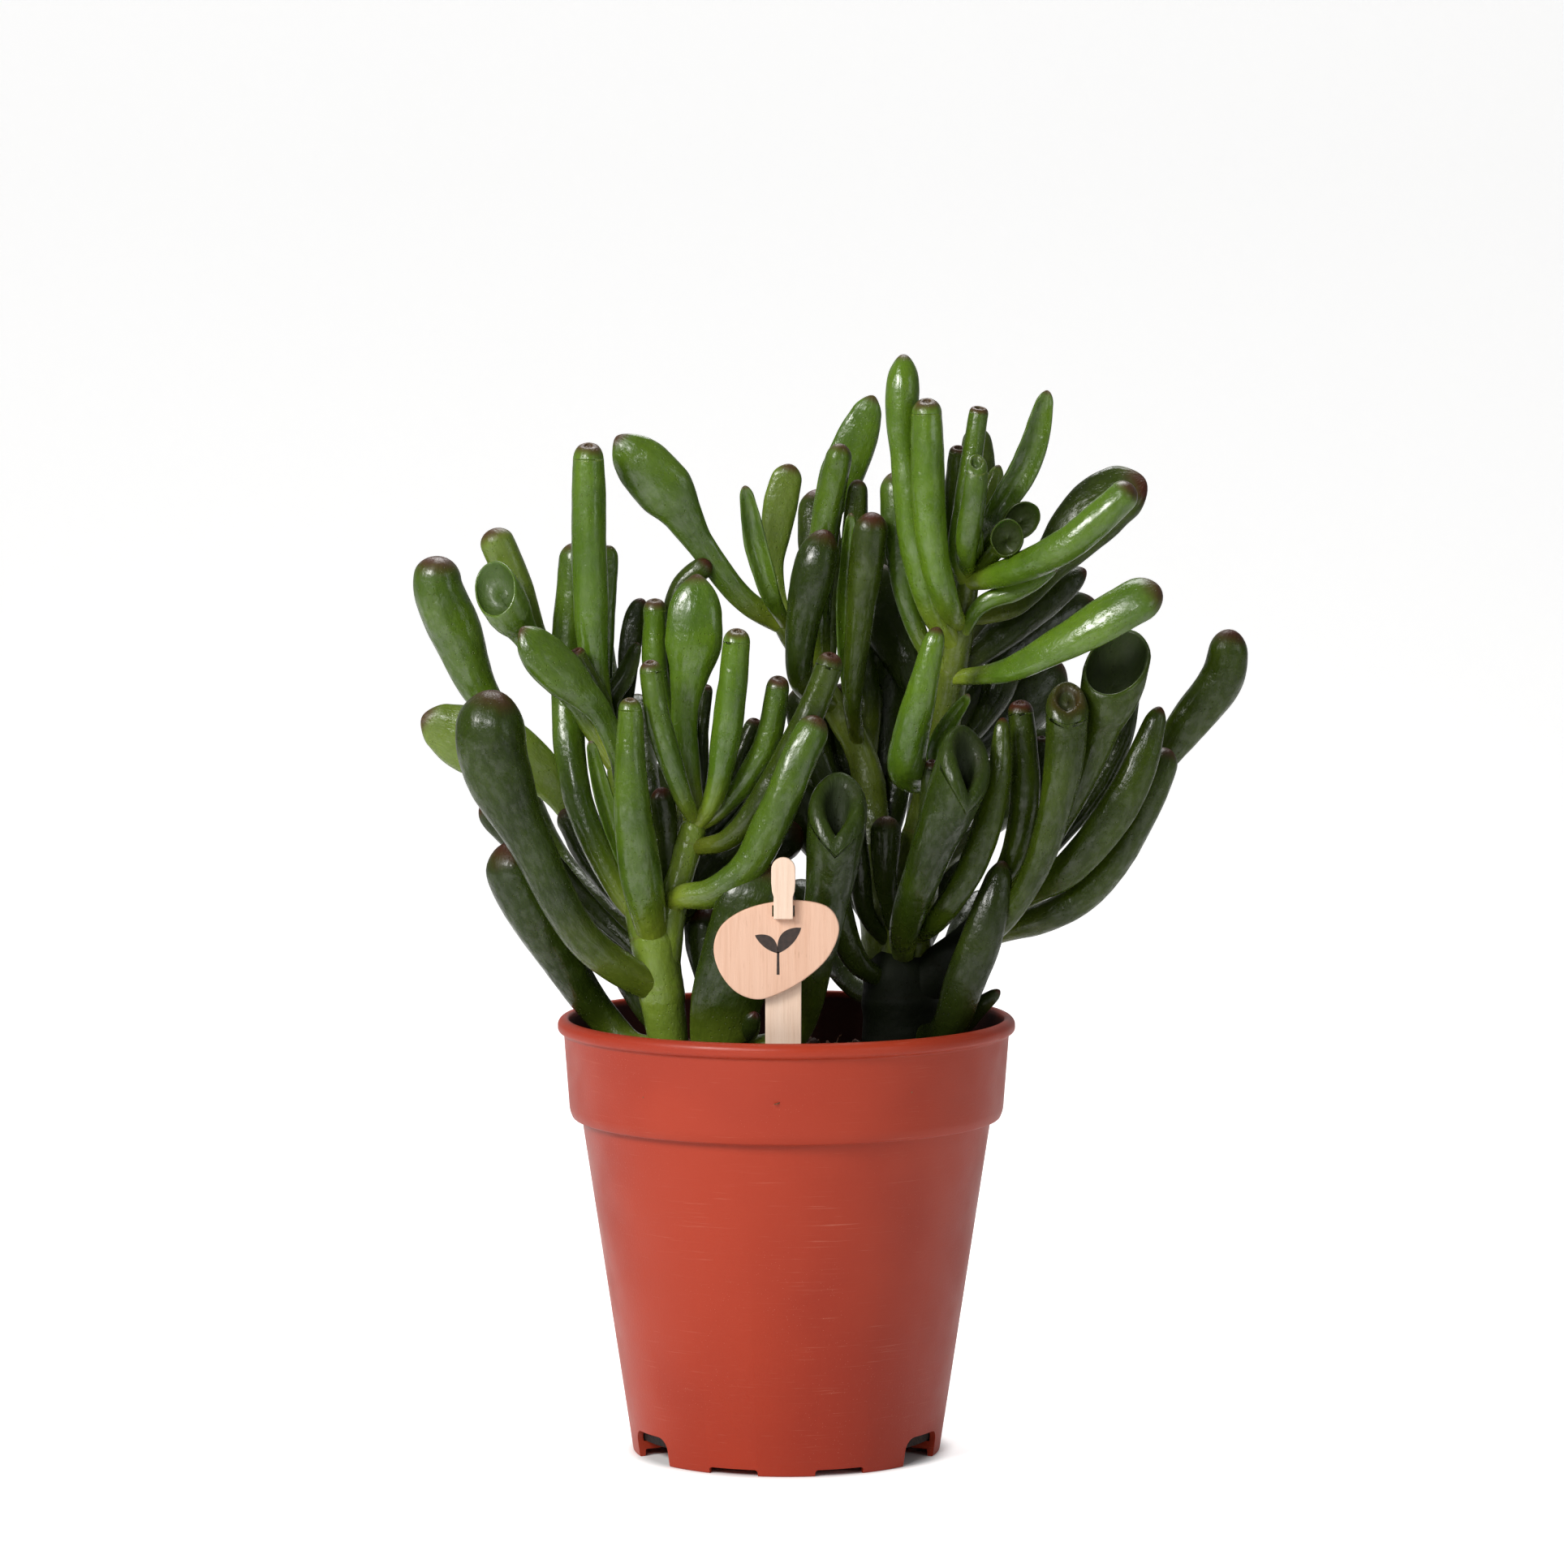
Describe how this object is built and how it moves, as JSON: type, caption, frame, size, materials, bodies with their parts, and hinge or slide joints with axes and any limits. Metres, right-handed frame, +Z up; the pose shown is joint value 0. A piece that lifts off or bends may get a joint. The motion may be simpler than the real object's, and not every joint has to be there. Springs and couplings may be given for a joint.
{
  "type": "potted jade plant",
  "caption": "Young finger-leaved jade plant with tubular, red-tipped leaves in a terracotta-coloured nursery pot, with a plain wooden tag on a stake.",
  "frame": {"origin": "on the pot's axis, at the surface that the pot stands on", "axes": "+Z up, -Y towards the front of the plant, where the tag is, +X to the right seen from the front"},
  "size_m": [0.1628, 0.0936, 0.216],
  "materials": {
    "pot_plastic": "satin moulded polypropylene, fine scratches",
    "potting_soil": "damp dark compost with fibres and perlite",
    "stake_wood": "pale unvarnished birch",
    "tag_wood": "pinkish unvarnished thin wood, darker sawn edge",
    "stem_green": "smooth succulent stem with leaf rings and small brown scars",
    "leaf_green": "waxy succulent leaf, broken wet highlights, maroon tip"
  },
  "bodies": {
    "root": {"pot": "pot_plastic", "left_stem": "stem_green", "right_stem": "stem_green", "front_stem": "stem_green", "label_stake": "stake_wood", "label_tag": "tag_wood", "soil": "potting_soil", "left_leaf_01": "leaf_green", "left_leaf_02": "leaf_green", "left_leaf_03": "leaf_green", "left_leaf_04": "leaf_green", "left_leaf_05": "leaf_green", "left_leaf_06": "leaf_green", "left_leaf_07": "leaf_green", "left_leaf_08": "leaf_green", "left_leaf_09": "leaf_green", "left_leaf_10": "leaf_green", "left_leaf_11": "leaf_green", "left_leaf_12": "leaf_green", "left_leaf_13": "leaf_green", "left_leaf_14": "leaf_green", "left_leaf_15": "leaf_green", "left_leaf_16": "leaf_green", "left_leaf_17": "leaf_green", "left_leaf_18": "leaf_green", "left_leaf_19": "leaf_green", "left_leaf_20": "leaf_green", "front_leaf_01": "leaf_green", "front_leaf_02": "leaf_green", "centre_leaf_01": "leaf_green", "centre_leaf_02": "leaf_green", "centre_leaf_03": "leaf_green", "centre_leaf_04": "leaf_green", "centre_leaf_05": "leaf_green", "centre_leaf_06": "leaf_green", "centre_leaf_07": "leaf_green", "centre_leaf_08": "leaf_green", "right_leaf_01": "leaf_green", "right_leaf_02": "leaf_green", "right_leaf_03": "leaf_green", "right_leaf_04": "leaf_green", "right_leaf_05": "leaf_green", "right_leaf_06": "leaf_green", "right_leaf_07": "leaf_green", "right_leaf_08": "leaf_green", "right_leaf_09": "leaf_green", "right_leaf_10": "leaf_green", "right_leaf_11": "leaf_green", "right_leaf_12": "leaf_green", "right_leaf_13": "leaf_green", "right_leaf_14": "leaf_green", "right_leaf_15": "leaf_green", "right_leaf_16": "leaf_green", "right_leaf_17": "leaf_green", "right_leaf_18": "leaf_green", "right_leaf_19": "leaf_green", "right_leaf_20": "leaf_green", "right_leaf_21": "leaf_green", "right_leaf_22": "leaf_green", "right_leaf_23": "leaf_green"}
  },
  "joints": []
}
